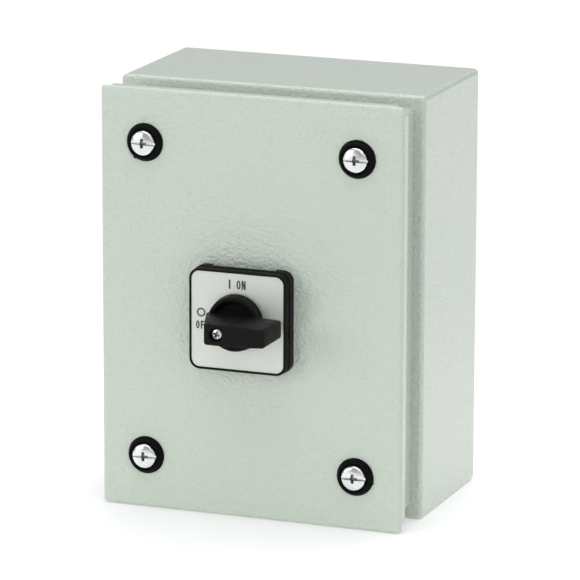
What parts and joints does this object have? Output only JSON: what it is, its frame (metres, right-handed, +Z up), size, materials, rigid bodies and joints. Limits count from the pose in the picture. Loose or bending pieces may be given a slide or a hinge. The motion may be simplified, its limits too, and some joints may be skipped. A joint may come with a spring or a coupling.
{
  "type": "rotary isolator switch",
  "caption": "Wall-mounted enclosed rotary isolator: folded steel box with a screwed lift-off lid that carries a square-plate cam switch and bar-grip handle.",
  "frame": {"origin": "centre of the flat back face that sits on the wall", "axes": "+Z up along the tall side, +Y into the wall, so the lid and handle face -Y"},
  "size_m": [0.15, 0.14, 0.2],
  "materials": {
    "grey_paint": "structured light grey-green powder coat",
    "zinc": "bright zinc plating",
    "black_rubber": "matt black moulded rubber",
    "grey_foam": "closed-cell foam",
    "black_plastic": "fine satin black moulding",
    "legend_silver": "satin silver foil plate with grey print",
    "grey_moulding": "dark grey thermoset moulding",
    "cam_plastic": "natural nylon",
    "steel": "bright steel",
    "copper": "bare copper with silver tips"
  },
  "bodies": {
    "enclosure": {"enclosure_body": "grey_paint", "corner_brackets": "grey_paint", "weld_nuts": "zinc", "earth_stud": "zinc", "earth_washers": "zinc", "earth_nuts": "zinc"},
    "lid": {"lid": "grey_paint", "lid_gasket": "grey_foam", "lid_screws": "zinc", "screw_sealing_washers": "black_rubber", "bezel_gasket": "black_rubber", "bezel_base": "black_plastic", "base_screws": "zinc", "shaft_seal": "black_rubber", "bezel_frame": "black_plastic", "legend_plate": "legend_silver", "detent_housing": "grey_moulding", "detent_cover": "steel", "detent_plungers": "cam_plastic", "detent_springs": "steel", "end_plate": "grey_moulding", "through_bolts": "zinc", "contact_chamber_front": "grey_moulding", "fixed_contacts_front": "copper", "terminal_clamps_front": "zinc", "terminal_screws_front": "zinc", "contact_spring_front_left": "steel", "contact_spring_front_right": "steel", "contact_chamber_rear": "grey_moulding", "fixed_contacts_rear": "copper", "terminal_clamps_rear": "zinc", "terminal_screws_rear": "zinc", "contact_spring_rear_left": "steel", "contact_spring_rear_right": "steel"},
    "handle": {"knob": "black_plastic", "knob_screw": "zinc", "drive_shaft": "steel", "detent_wheel": "cam_plastic", "stop_washer": "steel", "shaft_bush": "cam_plastic", "cam_front": "cam_plastic", "cam_rear": "cam_plastic"},
    "contact_front_left": {"contact_plunger_front_left": "cam_plastic", "contact_bridge_front_left": "copper"},
    "contact_front_right": {"contact_plunger_front_right": "cam_plastic", "contact_bridge_front_right": "copper"},
    "contact_rear_left": {"contact_plunger_rear_left": "cam_plastic", "contact_bridge_rear_left": "copper"},
    "contact_rear_right": {"contact_plunger_rear_right": "cam_plastic", "contact_bridge_rear_right": "copper"}
  },
  "joints": [
    {"name": "lid_lift_off", "type": "slide", "parent": "enclosure", "child": "lid", "axis": [0, -1, 0], "range_m": [0, 0.1]},
    {"name": "handle_turn", "type": "hinge", "parent": "lid", "child": "handle", "pos_m": [-0.0025, -0.112, -0.004], "axis": [0, 1, 0], "range_deg": [0, 90]},
    {"name": "contact_front_left_close", "type": "slide", "parent": "lid", "child": "contact_front_left", "axis": [1, 0, 0], "range_m": [0, 0.002], "deforming": ["contact_spring_front_left"]},
    {"name": "contact_front_right_close", "type": "slide", "parent": "lid", "child": "contact_front_right", "axis": [-1, 0, 0], "range_m": [0, 0.002], "deforming": ["contact_spring_front_right"]},
    {"name": "contact_rear_left_close", "type": "slide", "parent": "lid", "child": "contact_rear_left", "axis": [1, 0, 0], "range_m": [0, 0.002], "deforming": ["contact_spring_rear_left"]},
    {"name": "contact_rear_right_close", "type": "slide", "parent": "lid", "child": "contact_rear_right", "axis": [-1, 0, 0], "range_m": [0, 0.002], "deforming": ["contact_spring_rear_right"]}
  ],
  "couplings": [
    {"joint": "contact_front_left_close", "follows": "handle_turn", "m_per_rad": 0.001273},
    {"joint": "contact_front_right_close", "follows": "handle_turn", "m_per_rad": 0.001273},
    {"joint": "contact_rear_left_close", "follows": "handle_turn", "m_per_rad": 0.001273},
    {"joint": "contact_rear_right_close", "follows": "handle_turn", "m_per_rad": 0.001273}
  ]
}
